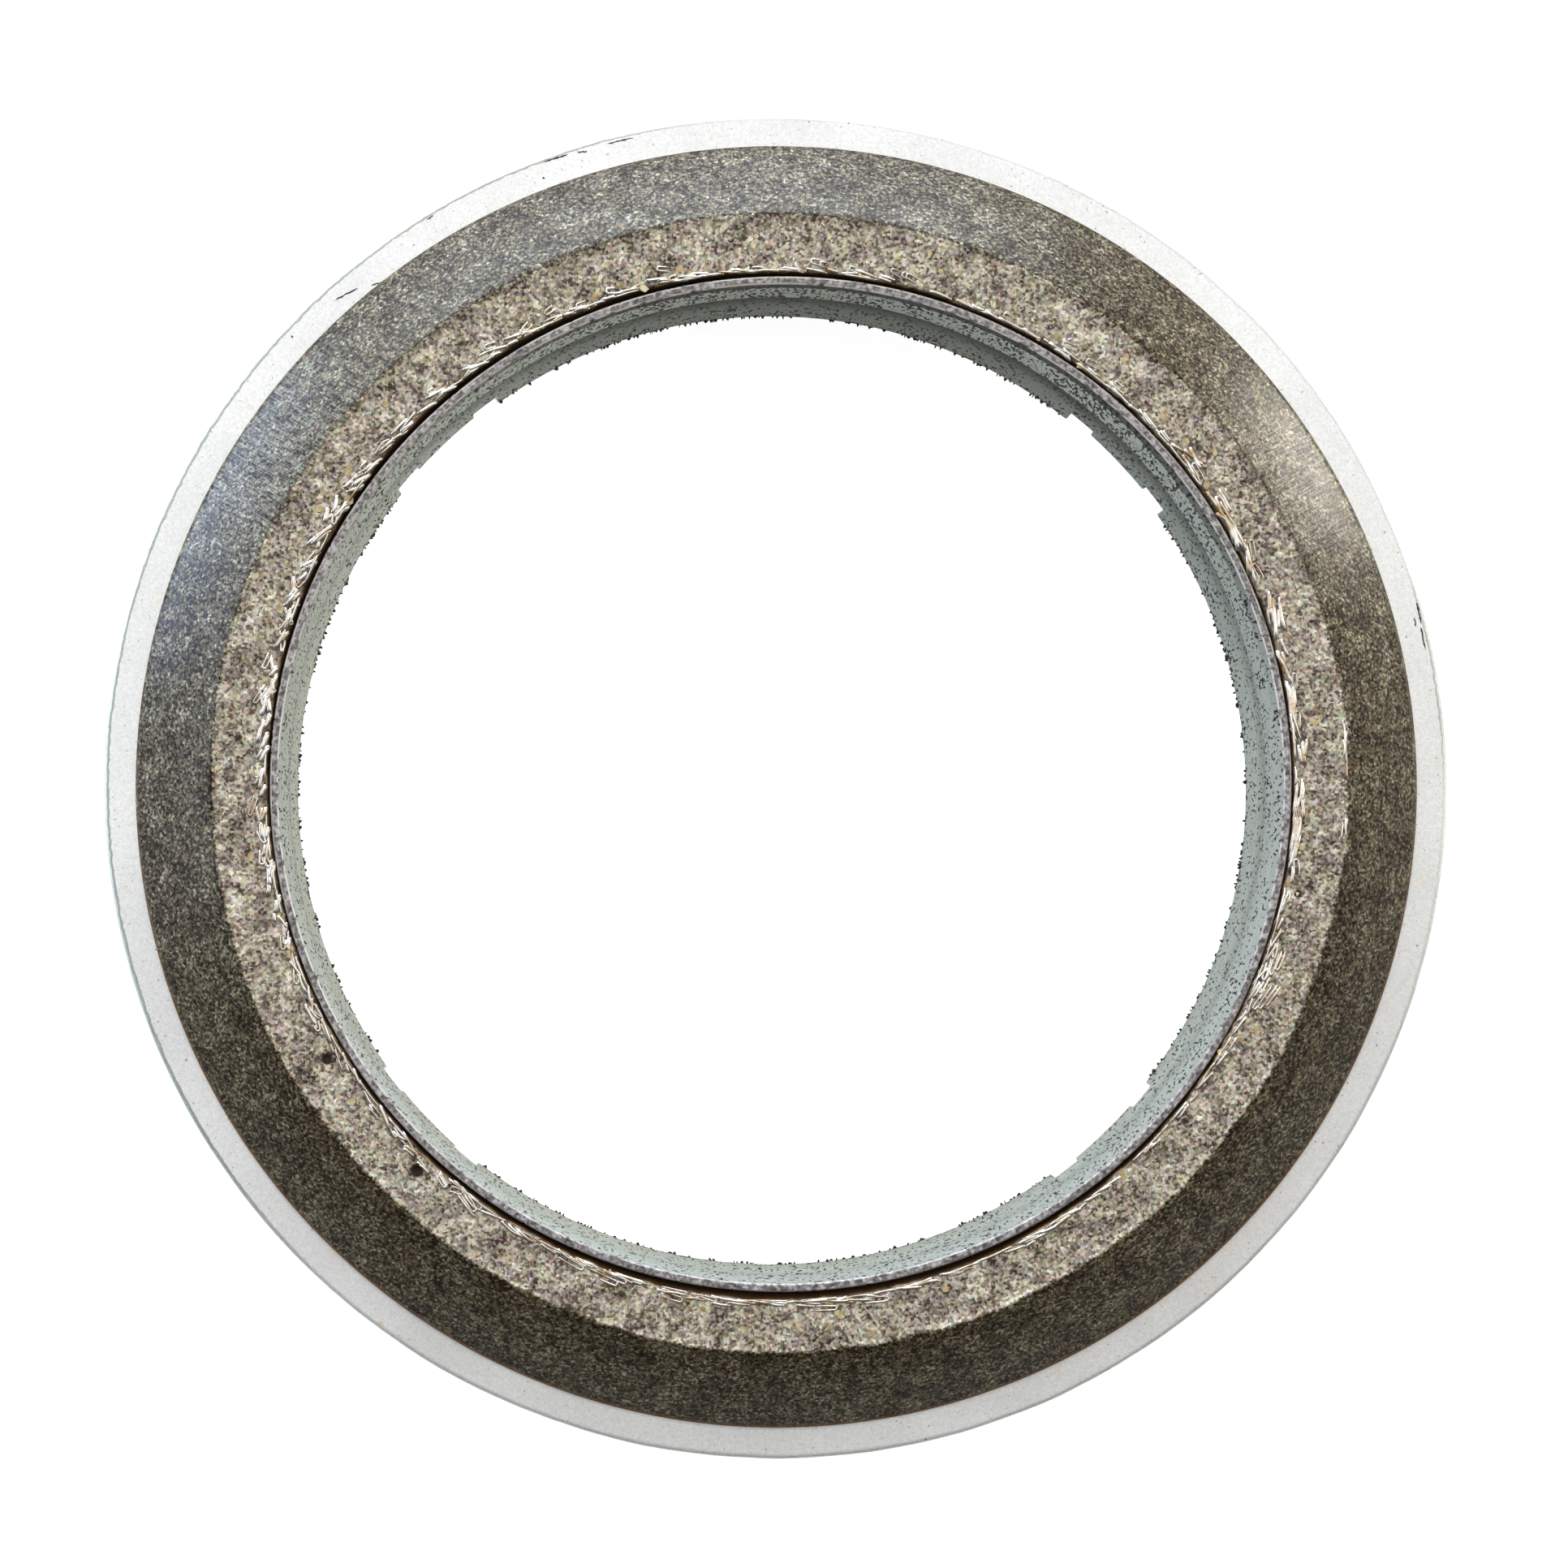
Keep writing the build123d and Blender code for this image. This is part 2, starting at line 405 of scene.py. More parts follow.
def flange_finish():
    """Bright coated steel sheet, satin from rolling, with cream specks and fine dark pores."""
    material, tree, shader = new_material("coated_rolled_steel_sheet", {"Metallic": 0.35})
    place = add(tree, "TexCoord").outputs["Object"]
    around = add(tree, "Attribute", {"attribute_name": "around"}).outputs["Vector"]
    inward, edge_shade_strength, wall = marked(tree, "edge")
    clouds, pores, stain, grain = [
        add(tree, "TexNoise", {"Scale": per(size), "Detail": detail}, {"Vector": place})
        for size, detail in ((6.0, 3.0), (0.22, 2.0), (0.42, 2.0), (0.12, 2.0))]
    base = add(tree, "ValToRGB", {"stops": [(0.3, "#e2e0dc"), (0.7, "#eeece8")]}, {"Fac": clouds})
    pore = add(tree, "MapRange", {"range": (0.69, 0.74)}, {"Value": pores})
    pored = add(tree, "Mix RGBA", {7: "#99958a"}, {0: pore, 6: base})
    ochre = add(tree, "MapRange", {"range": (0.66, 0.74)}, {"Value": stain})
    stained = add(tree, "Mix RGBA", {7: "#ebe0cb"}, {0: ochre, 6: pored})
    # painted shade: the rolled edge is painted greyer, with a ragged grey-green painted shade line
    # where it starts, most at the left
    roll = add(tree, "MapRange", {"range": (0.24, 0.10, 0.0, 0.75)}, {"Value": inward})
    roll = add(tree, "Math MULTIPLY", {}, {0: roll, 1: edge_shade_strength})
    rolled = add(tree, "Mix RGBA", {7: "#b4bdb3"}, {0: roll, 6: stained})
    ragged = add(tree, "Math MULTIPLY_ADD", {1: -0.20}, {0: stain, 2: inward})
    aside = add(tree, "Math SUBTRACT", {1: 0.10}, {0: ragged})
    aside = add(tree, "Math ABSOLUTE", {}, {0: aside})
    line = add(tree, "MapRange", {"range": (0.085, 0.03)}, {"Value": aside})
    line = add(tree, "Math MULTIPLY", {}, {0: line, 1: edge_shade_strength})
    lined = add(tree, "Mix RGBA", {7: "#a2a69c"}, {0: line, 6: rolled})
    # the punch sheared the outer wall, so it is bare grey steel
    sheared = add(tree, "Mix RGBA", {7: "#a5a6a3"}, {0: wall, 6: lined})
    # the coating has a fine grain of 0.12 mm
    grain = add(tree, "MapRange", {"range": (0.3, 0.7, 0.88, 1.07)}, {"Value": grain})
    grained = add(tree, "VectorMath SCALE", {}, {0: sheared, 3: grain})
    # rolling and handling marks lie along the ring, 0.05 mm wide and about 2 mm long
    stretch = add(tree, "Mapping", {"Scale": (0.5, 0.5, 20.0)}, {"Vector": around})
    marks = add(tree, "TexNoise", {"Scale": 1.0, "Detail": 4.0}, {"Vector": stretch})
    rough = add(tree, "MapRange", {"range": (0.0, 1.0, 0.26, 0.42)}, {"Value": marks})
    bump = add(tree, "Bump", {"Distance": 0.004 * MM, "Strength": 0.6}, {"Height": marks})
    join(tree, shader, {"Base Color": grained, "Roughness": rough, "Normal": bump})
    return material


def sleeve_finish():
    """Thin steel sheet with a matt grey-green coating, peppered with dark specks.

    Painted shade lies on the bore face: a dark line under the rim, and a band under the swaged
    step that fades downwards. It is strongest on the +Y side.
    """
    material, tree, shader = new_material("coated_drawn_sleeve_steel", {"Specular IOR Level": 0.05})
    coordinates = add(tree, "TexCoord")
    place = coordinates.outputs["Object"]
    shade_strength, height, painted_dimming_share = marked(tree, "soot")
    clouds = add(tree, "TexNoise", {"Scale": per(1.6), "Detail": 4.0}, {"Vector": place})
    base = add(tree, "ValToRGB",
               {"stops": [(0.3, "#dde1d2"), (0.55, "#e8ecde"), (0.75, "#f2f5ea")]},
               {"Fac": clouds})
    # the ramp by height is painted shade on the bore face: a dark line under the rim, and a band
    # under the swaged step that fades downwards
    level = add(tree, "Math MULTIPLY_ADD", {1: 0.03}, {0: clouds, 2: height})
    shade = add(tree, "ValToRGB", {"stops": [
        (0.0, "#e4e4e4"), (0.22, "#c8c8c8"), (0.32, "#b0b0b0"), (0.42, "#8a8a8a"),
        (0.52, "#626262"), (0.628, "#4c4c4c"), (0.645, "#f8f8f8"), (0.925, "#ffffff"),
        (0.945, "#5a504a"), (1.0, "#5a504a")]}, {"Fac": level})
    # the bore face is the one whose normal points to the axis
    outward = add(tree, "VectorMath MULTIPLY", {1: (1.0, 1.0, 0.0)}, {0: place})
    facing = add(tree, "VectorMath DOT_PRODUCT", {}, {0: outward, 1: coordinates.outputs["Normal"]})
    bore_face = add(tree, "Math LESS_THAN", {1: 0.0}, {0: facing})
    # painted shade: the bore face is darkened by that ramp, most on the +Y side
    shade_amount = add(tree, "Math MULTIPLY", {}, {0: bore_face, 1: shade_strength})
    shade_painted = add(tree, "Mix RGBA", {"blend_type": "MULTIPLY"}, {0: shade_amount, 6: base, 7: shade})
    # painted shade: the sleeve is darkened towards -Y, most on the neck
    dimming_with_painted_shade = add(tree, "MapRange", {"range": (0.0, 1.0, 1.0, 0.42)}, {"Value": painted_dimming_share})
    # painted shade: the wall is darkened towards the crease of the swaged step, and the neck above
    # it is left as it is
    neck = add(tree, "Math GREATER_THAN", {1: 0.635}, {0: level})
    for start, end, darkest in ((0.34, 0.48, 0.70), (0.575, 0.615, 0.62)):
        under = add(tree, "MapRange", {"range": (start, end, 1.0, darkest)}, {"Value": level})
        crease_shade = add(tree, "Math MAXIMUM", {}, {0: under, 1: neck})
        dimming_with_painted_shade = add(tree, "Math MULTIPLY", {}, {0: dimming_with_painted_shade, 1: crease_shade})
    # the outside is handled, and its coating is greyer than in the bore
    handled = add(tree, "MapRange", {"range": (0.0, 1.0, 0.60, 1.0)}, {"Value": bore_face})
    dimming_with_painted_shade = add(tree, "Math MULTIPLY", {}, {0: dimming_with_painted_shade, 1: handled})
    shade_dimmed = add(tree, "VectorMath SCALE", {}, {0: shade_painted, 3: dimming_with_painted_shade})
    # specks about 0.1 mm wide, drawn out down the bore, and thicker along the lower edge
    squeeze = add(tree, "Mapping", {"Scale": (1.0, 1.0, 0.3)}, {"Vector": place})
    pepper = add(tree, "TexNoise", {"Scale": per(0.19), "Detail": 2.0, "Roughness": 0.6},
                 {"Vector": squeeze})
    low_edge = add(tree, "MapRange", {"range": (0.11, 0.0, 0.0, 0.06)}, {"Value": height})
    thick = add(tree, "Math MULTIPLY_ADD", {1: 0.25}, {0: clouds, 2: pepper})
    thick = add(tree, "Math ADD", {}, {0: thick, 1: low_edge})
    upper = add(tree, "Math MULTIPLY", {}, {0: neck, 1: shade_amount})
    for part, weight in ((upper, 0.05), (shade_amount, 0.022)):
        thick = add(tree, "Math MULTIPLY_ADD", {1: weight}, {0: part, 2: thick})
    pepper_mask = add(tree, "MapRange", {"range": (0.71, 0.74)}, {"Value": thick})
    peppered = add(tree, "Mix RGBA", {7: "#282621"}, {0: pepper_mask, 6: shade_dimmed})
    # drawing lines run round the bore, a twentieth of a millimetre apart
    lines = add(tree, "Mapping", {"Scale": (0.06, 0.06, 1.6)}, {"Vector": place})
    drawn = add(tree, "TexNoise", {"Scale": per(0.12), "Detail": 2.0}, {"Vector": lines})
    tint = add(tree, "MapRange", {"range": (0.3, 0.7, 0.84, 1.06)}, {"Value": drawn})
    final = add(tree, "VectorMath SCALE", {}, {0: peppered, 3: tint})
    rough = add(tree, "MapRange", {"range": (0.0, 1.0, 0.50, 0.75)}, {"Value": clouds})
    bump = add(tree, "Bump", {"Distance": 0.02 * MM, "Strength": 0.6}, {"Height": thick})
    lined = add(tree, "Bump", {"Distance": 0.008 * MM, "Strength": 0.5},
                {"Height": drawn, "Normal": bump})
    join(tree, shader, {"Base Color": final, "Roughness": rough, "Normal": lined})
    return material


def rim_finish():
    """Sheared edge of the sleeve: bare steel, pinkish grey, with bright broken corners: burnish and
    a painted highlight.
    """
    material, tree, shader = new_material("sheared_bare_steel",
                                          {"Metallic": 0.35, "Roughness": 0.45})
    coordinates = add(tree, "TexCoord")
    place = coordinates.outputs["Object"]
    _, _, painted_dimming_share = marked(tree, "soot")
    mottle, beads = [
        add(tree, "TexNoise", {"Scale": per(size), "Detail": detail}, {"Vector": place})
        for size, detail in ((0.22, 3.0), (0.5, 2.0))]
    base = add(tree, "ValToRGB",
               {"stops": [(0.32, "#45403e"), (0.5, "#857d7b"), (0.68, "#c4bdbc")]},
               {"Fac": mottle})
    # the corners are painted pale where their face tips away from level: burnish and a painted
    # highlight, least where the painted dimming towards -Y is strong
    up = add(tree, "SeparateXYZ", links={0: coordinates.outputs["Normal"]}).outputs["Z"]
    corner = add(tree, "MapRange", {"range": (0.995, 0.95)}, {"Value": up})
    bead = add(tree, "MapRange", {"range": (0.40, 0.48)}, {"Value": beads})
    undimmed = add(tree, "MapRange", {"range": (0.55, 0.95, 1.0, 0.2)}, {"Value": painted_dimming_share})
    bright = corner
    for part in (bead, undimmed):
        bright = add(tree, "Math MULTIPLY", {}, {0: bright, 1: part})
    burnish_and_highlight = add(tree, "Mix RGBA", {7: "#e0dad2"}, {0: bright, 6: base})
    bump = add(tree, "Bump", {"Distance": 0.02 * MM, "Strength": 0.8}, {"Height": mottle})
    join(tree, shader, {"Base Color": burnish_and_highlight, "Normal": bump})
    return material


def tinted(name, size, stops, settings):
    """Material whose colour is one ramp over noise, in patches of `size` mm."""
    material, tree, shader = new_material(name, settings)
    place = add(tree, "TexCoord").outputs["Object"]
    patches = add(tree, "TexNoise", {"Scale": per(size), "Detail": 3.0}, {"Vector": place})
    tint = add(tree, "ValToRGB", {"stops": stops}, {"Fac": patches})
    join(tree, shader, {"Base Color": tint})
    return material


pressed_material = pressed_mesh_finish()
flange_material = flange_finish()
sleeve_material = sleeve_finish()
rim_material = rim_finish()
# drawn stainless wire, rolled flat by the die: bright, with straw-coloured heat tint
wire_material = tinted("drawn_stainless_wire", 0.9,
                       [(0.3, "#a98f6d"), (0.5, "#d6cdc0"), (0.75, "#efece6")],
                       {"Metallic": 0.9, "Roughness": 0.27})
# split mica: thin amber flakes with a glassy face
mica_material = tinted("split_mica_flake", 0.5,
                       [(0.3, "#8c7648"), (0.5, "#b9a371"), (0.7, "#dccfa6")],
                       {"Roughness": 0.42, "IOR": 1.58})
# burrs and crumbs of rust and graphite that cling to the sheared lower edge
dirt_material = tinted("rust_and_graphite_crumbs", 0.3,
                       [(0.35, "#171613"), (0.6, "#312d26"), (0.8, "#4f473a")],
                       {"Roughness": 0.7})

# pits in the flat: clock degrees, radius, width and depth
pits = [(238.6, 27.3, 0.42, 0.26), (223.2, 27.3, 0.46, 0.30), (102.3, 27.25, 0.34, 0.22),
        (291.0, 27.5, 0.25, 0.14), (252.0, 28.6, 0.22, 0.14), (65.0, 27.9, 0.2, 0.12),
        (148.0, 27.2, 0.24, 0.12)]


def seat_height(radius):
    """Height of the spherical seat: the sphere's sagitta below the edge of the flat."""
    return ring_top - (np.sqrt(seat_sphere**2 - flat_outer**2)
                       - np.sqrt(seat_sphere**2 - radius**2))


def lip_shift(angle):
    """How far the lip of the ring's bore lies outside its mean circle, by clock angle t:
    0.05 - 0.08 cos t - 0.05 cos 3t, in mm."""
    turn = np.pi / 2 - angle
    return 0.05 - 0.08 * np.cos(turn) - 0.05 * np.cos(3 * turn)


def make_pressed_ring(columns=1536):
    """The pressed ring as one closed section turned about the axis.

    Rows go round the section: base, land, seat, flat, lip and bore. On the flat the height is
    the die's level less a depth: pressed flakes, waves and pits. The edge between flat and seat
    wanders by a tenth of a millimetre. Seat rows follow the sphere with shallow dents.
    """
    angle = steps(0, TURN, columns)[None, :]
    one = np.ones_like(angle)
    border, lip = flat_outer * one, flat_inner - 0.01 + lip_shift(angle)
    for sway, cell, seed in ((0.08, 3.2, 11), (0.05, 0.7, 12)):
        border = border + sway * ring_noise(angle, 0 * angle, cell, seed)
    for sway, cell, seed in ((0.05, 0.9, 13), (0.04, 0.35, 14)):
        lip = lip + sway * ring_noise(angle, 0 * angle, cell, seed)
    base = [(r * one, ring_base * one) for r in steps(carried_bore, seat_outer - 0.05, 3)]
    land = [(seat_outer * one, z * one) for z in steps(ring_base + 0.01, ring_base + seat_land, 2)]
    seat_rows, flat_rows, lip_rows = 18, 27, 5
    seat_r = seat_outer + (border - seat_outer) * steps(0, 1, seat_rows)[:, None]
    seat_z = np.minimum(seat_height(seat_r), ring_top)
    for deep, cell, seed in ((0.018, 1.1, 21), (0.012, 0.3, 22)):
        seat_z = seat_z - deep * dapple(angle, seat_r, cell, seed)
    flat_r = border + (lip - border) * steps(0, 1, flat_rows)[:, None]
    full = angle + 0 * flat_r
    tone, relief = flakes(full, flat_r, 0.42, 31)
    tone_small, relief_small = flakes(full, flat_r, 0.24, 32)
    highest = 1.6  # no flake's own plane rises above this
    depth = 0.03 + 0.045 * dapple(angle, flat_r, 1.7, 33) + 0.022 * (relief + highest) \
        + 0.014 * (relief_small + highest)
    for at, radius, width, deep in pits:
        away = np.hypot((np.angle(np.exp(1j * (full - clock(at))))) * radius, flat_r - radius)
        depth += deep * smooth(1.25 - away / width * 1.25)
    toward_edge = smooth((flat_r - lip) / 0.30)
    depth = depth * (0.35 + 0.65 * smooth((border - flat_r) / 0.2)) + 0.10 * (1 - toward_edge)
    flat_z = np.minimum(ring_top - depth, seat_height(flat_r))
    share = steps(0.10, 1, lip_rows)[:, None]
    lip_r = lip + (carried_bore - lip) * share
    lip_z = ring_top - 0.14 - (lip_depth - 0.14) * share + 0 * angle
    bore = [(carried_bore * one, z * one) for z in steps(ring_top - lip_depth, ring_base, 3)]
    radius, height = [np.concatenate([run[k] for run in base + land + [(seat_r, seat_z),
                                      (flat_r, flat_z), (lip_r, lip_z)] + bore]) for k in (0, 1)]
    flat_start = len(base) + len(land) + seat_rows
    flat_end = flat_start + flat_rows
    tones, depths, in_gap = np.full(radius.shape, 0.5), 0 * radius, 0 * radius
    tones[flat_start:flat_end] = 0.6 * tone + 0.4 * tone_small
    depths[flat_start:flat_end] = depth
    depths[flat_end:] = 0.3
    in_gap[flat_end:] = 1.0
    from_lip = np.abs(radius - lip) + 9.0 * (height < ring_top - 0.25)
    marks = {"press": np.stack([border - radius, tones, depths], -1),
             "lip": np.stack([from_lip, in_gap, 0 * radius], -1)}
    return new_object("pressed_ring", on_ring(radius, angle, height),
                      turned_quads(len(radius), columns, True), pressed_material,
                      replaced="sealing_ring", marks=marks)


def make_flange(columns=1024):
    """The flange as one closed section turned about the axis: flat below, a punched wall, and a
    rolled top edge, with shallow waves and nicks along its rim."""
    angle = steps(0, TURN, columns)[None, :]
    top = ring_base
    roll = np.linspace(0, math.pi / 2, 8)
    section = [(r, flange_base) for r in steps(flange_bore + flange_bevel, flange_outer - 0.08, 6)]
    section += [(flange_outer - 0.03, flange_base), (flange_outer, flange_base + 0.06)]
    section += [(flange_outer, z) for z in steps(flange_base + 0.3, top - flange_roll, 2)]
    section += [(flange_outer - flange_roll * (1 - math.cos(t)),
                 top - flange_roll * (1 - math.sin(t))) for t in roll]
    section += [(r, top) for r in steps(flange_outer - flange_roll - 0.12, flange_bore + 0.05, 14)]
    section += [(flange_bore, top - 0.05), (flange_bore, flange_base + flange_bevel)]
    section = np.array(section)
    radius = section[:, :1] + 0 * angle
    height = section[:, 1:] + 0 * angle
    edge = smooth((radius - flange_outer + 0.5) / 0.4)
    radius = radius - edge * (0.035 * dapple(angle, 0 * radius, 2.4, 41, 35.0)
                              + 0.012 * dapple(angle, 0 * radius, 0.5, 42, 35.0))
    s = np.concatenate([[0], np.cumsum(np.hypot(*np.diff(section, axis=0).T))])[:, None]
    at = np.mod(90 - np.degrees(angle), 360)
    # strength of the painted shade on the rolled edge, by clock: most from 222 to 356, and round 80
    edge_shade_strength = 0.25 + 0.75 * smooth((at - 222) / 14) * smooth((356 - at) / 14)
    edge_shade_strength = np.maximum(edge_shade_strength, 0.8 * smooth(1.4 - np.abs(at - 80) / 9))
    inward = np.where(section[:, 1:] > flange_base + 0.4, flange_outer - section[:, :1], 9.0)
    wall = (section[:, :1] > flange_outer - 0.01) & (section[:, 1:] < top - flange_roll + 0.01)
    marks = {"around": on_ring(30, angle, s),
             "edge": np.stack(np.broadcast_arrays(inward, edge_shade_strength, wall), -1)}
    return new_object("rolled_flange", on_ring(radius, angle, height),
                      turned_quads(len(section), columns, True), flange_material,
                      replaced="flange_ring", marks=marks)


def make_sleeve():
    """The sleeve's bore face as a grid, thickened outwards.

    Columns meet the edges of the tabs and of their relief slots. Rows follow the bore line:
    neck, swaged shoulder with rounded bends, spigot. Below the slots' roof the columns between
    two slots follow the tab's own line, which bends outwards, and the slots' faces are left out.
    """
    half_tab = math.asin(tab_half / spigot_bore)
    half_window = math.asin((tab_half + slot_wide) / spigot_bore)
    quarter = math.pi / 2
    wall, tab, slot = 0, 1, 2
    stretches = [  # what it is, from, to, columns
        (tab, -half_tab, half_tab, 24), (slot, half_tab, half_window, 9),
        (wall, half_window, quarter - half_window, 198),
        (slot, quarter - half_window, quarter - half_tab, 9)]
    turned = np.concatenate([steps(start, end, count) for _, start, end, count in stretches])
    kind = np.tile(np.repeat(*np.array([(what, count) for what, _, _, count in stretches]).T), 4)
    angle = (np.radians(tab_azimuth) + turned[None, :] + np.arange(4)[:, None] * quarter).ravel()
    bore_line = rounded_line([(neck_bore, rim_top), (neck_bore, shoulder_top),
                              (spigot_bore, shoulder_top - swage_step), (spigot_bore, slot_top)],
                             swage_bends)
    total = np.linalg.norm(np.diff(bore_line, axis=0), axis=1).sum()
    bend = rim_top - shoulder_top
    along = np.concatenate([[0, 0.18], steps(0.4, bend - 0.24, 10),
                            steps(bend - 0.24, bend + 0.45, 11),
                            steps(bend + 0.45, total, 9, last=True)])
    upper = spaced(bore_line, along)
    lower_rows = 11
    plain = np.stack([np.full(lower_rows, spigot_bore),
                      slot_top - slot_top * np.arange(1, lower_rows + 1) / lower_rows], -1)
    tip = (spigot_bore + tab_flap * math.sin(tab_angle), tab_bend - tab_flap * math.cos(tab_angle))
    tab_line = rounded_line([(spigot_bore, slot_top), (spigot_bore, tab_bend), tip],
                            [tab_bend_radius], 7)
    tab_length = np.linalg.norm(np.diff(tab_line, axis=0), axis=1).sum()
    bent = spaced(tab_line, tab_length * np.arange(1, lower_rows + 1) / lower_rows)
    is_tab = (kind == tab)[None, :] | (np.roll(kind, 1) == tab)[None, :]
    radius, height = [np.concatenate([upper[:, k:k + 1] + 0 * angle, np.where(
        is_tab, bent[:, k:k + 1], plain[:, k:k + 1])]) for k in (0, 1)]
    # the rim isn't round: it is squeezed at clock 0, 180 and 315, and flares at 90 and 255,
    # but only above the narrow part of the ring's bore
    turn = np.pi / 2 - angle
    squeeze = 0.03 - 0.10 * np.cos(2 * turn) - 0.03 * np.cos(turn) \
        + 0.05 * np.sin(turn) + 0.035 * np.sin(2 * turn)
    radius = radius + np.minimum(squeeze, 0.0) * smooth((height - 9.0) / 3.0) \
        + np.clip(squeeze, 0.0, 0.12) * smooth((height - 11.9) / 0.6)
    ragged = 0.05 * dapple(angle, 0 * angle, 0.45, 51, 26.0)
    height = height + ragged * smooth((0.5 - height) / 0.5) * (1 - is_tab)
    rows, columns = radius.shape
    quads = turned_quads(rows, columns, False)
    slot_face = (np.arange(rows - 1)[:, None] >= len(upper) - 1) & (kind == slot)[None, :]
    quads = quads[~slot_face]
    used, packed = np.unique(quads, return_inverse=True)
    points = on_ring(radius, np.broadcast_to(angle, radius.shape), height).reshape(-1, 3)[used]
    # painted shade on the bore: its strength by clock, strongest on the +Y side
    strength = 0.10 + 0.88 * smooth((np.cos(turn - 0.2) - 0.2) / 0.8) + 0 * height
    # painted shade: a dimming towards -Y, stronger on the neck than on the spigot
    dimming_with_painted_shade = (0.5 - 0.5 * np.cos(turn + 0.4)) * (0.6 + 0.4 * smooth((height - 7.7) / 0.5))
    soot = np.stack([strength, height / rim_top, dimming_with_painted_shade], -1).reshape(-1, 3)[used]
    piece = new_object("lanced_sleeve", points, packed.reshape(-1, 4), sleeve_material,
                       replaced="sleeve", marks={"soot": soot})
    piece.data.materials.append(rim_material)
    thickness = piece.modifiers.new("sheet", "SOLIDIFY")
    thickness.thickness = sheet * MM
    thickness.offset = -1
    thickness.use_even_offset = True
    thickness.material_offset_rim = 1
    edges = piece.modifiers.new("edges", "BEVEL")
    edges.width = sheet_edge_round * MM
    edges.segments = 3
    edges.limit_method = "ANGLE"
    edges.angle_limit = math.radians(50)
    edges.harden_normals = True
    return piece


def tube_quads(count, rings, sides=6):
    """Quads of `count` closed six-sided tubes: walls between rings, and two quads at each end."""
    i, k = np.meshgrid(np.arange(rings - 1), np.arange(sides), indexing="ij")
    k2 = (k + 1) % sides
    walls = np.stack([i * sides + k, i * sides + k2, (i + 1) * sides + k2, (i + 1) * sides + k], -1)
    last = (rings - 1) * sides
    caps = np.array([[3, 2, 1, 0], [5, 4, 3, 0], [last, last + 1, last + 2, last + 3],
                     [last, last + 3, last + 4, last + 5]])
    one = np.concatenate([walls.reshape(-1, 4), caps])
    return one[None] + (np.arange(count) * rings * sides)[:, None, None]


def swept(path, half_width, half_thick, sides=6):
    """Flattened tubes along paths: at each point of a path an ellipse stands square to it, its
    long axis level and its short axis up."""
    ahead = np.gradient(path, axis=1)
    ahead /= np.linalg.norm(ahead, axis=-1, keepdims=True) + 1e-12
    up = np.array([0.0, 0.0, 1.0])
    side = np.cross(up, ahead)
    side /= np.linalg.norm(side, axis=-1, keepdims=True) + 1e-12
    lift = np.cross(ahead, side)
    around = np.arange(sides) * TURN / sides
    wide, thick = half_width * np.cos(around), half_thick * np.sin(around)
    return (path[:, :, None] + side[:, :, None] * wide[..., None]
            + lift[:, :, None] * thick[..., None])


def wire_places(rng):
    """Where wire shows on the flat, by stretches of the clock: how many strands, how far from
    the lip, their lean to the ring's direction, their length and half their width."""
    stretches = [  # from, to, strands, reach across, lean, length, half width
        (0, 48, 34, 0.35, 7, 1.3, 0.075), (48, 75, 23, 0.8, 14, 1.8, 0.125),
        (75, 100, 26, 0.7, 8, 1.8, 0.125), (100, 118, 16, 0.6, 10, 1.3, 0.08),
        (118, 170, 36, 0.35, 6, 1.3, 0.075), (170, 215, 36, 0.4, 7, 1.5, 0.08),
        (215, 250, 40, 0.6, 12, 1.4, 0.085), (250, 286, 46, 0.6, 16, 1.2, 0.125),
        (286, 306, 30, 0.7, 20, 1.2, 0.13), (306, 330, 26, 0.45, 11, 1.2, 0.08),
        (330, 360, 26, 0.35, 8, 1.3, 0.075), (0, 360, 110, 0.04, 1, 1.9, 0.055)]
    rows = []
    for start, end, count, reach, lean, length, half in stretches:
        at = rng.uniform(start, end, count)
        from_lip = reach * rng.beta(1.2, 2.2, count)
        leans = np.radians(lean * rng.normal(1.0, 0.45, count))
        leans = leans * rng.choice([1, 1, 1, 1, 1, -1], count)
        lengths = length * rng.uniform(0.55, 1.25, count)
        halves = half * rng.uniform(0.7, 1.3, count)
        lip = flat_inner + lip_shift(clock(at))
        rows.append(np.stack([clock(at), lip + 0.06 + from_lip, leans, lengths, halves], -1))
    outer = np.stack([clock(rng.uniform(84, 99, 9)), flat_outer - rng.uniform(0.02, 0.3, 9),
                      np.radians(rng.normal(0, 5, 9)), rng.uniform(0.6, 1.8, 9),
                      rng.uniform(0.05, 0.08, 9)], -1)
    rows.append(outer)
    return np.concatenate(rows)


def make_wires():
    """Strands of the knitted wire that the die left bare on the flat.

    Each is a gently bowed run: along it t goes from -1 to 1, the offset across is
    lean x length plus bow x (t^2 - 1/3), and both ends sink below the pressed surface as t^6.
    """
    rng = np.random.default_rng(61)
    angle, radius, lean, length, half_width = wire_places(rng).T[:, :, None]
    count, rings = len(angle), 9
    t = np.linspace(-1, 1, rings)[None, :]
    run = length / 2 * t
    bow = rng.normal(0, 0.05, (count, 1)) * (t**2 - 1 / 3)
    across = run * np.sin(lean) + bow
    theta = angle + run * np.cos(lean) / radius
    lip = flat_inner + lip_shift(theta)
    r = np.maximum(radius + across, lip - 0.01)
    half_thick = half_width * rng.uniform(0.35, 0.6, (count, 1))
    over_gap = smooth((lip + 0.05 - r) / 0.2)
    height = ring_top - half_thick - rng.uniform(0.0, 0.05, (count, 1)) - 0.14 * np.abs(t)**6 \
        - 0.10 * over_gap
    path = on_ring(r, theta, height)
    narrow = 1 - 0.65 * np.abs(t)**12
    points = swept(path, (half_width * narrow)[..., None], (half_thick * narrow)[..., None])
    return new_object("bare_wires", points, tube_quads(count, rings), wire_material)


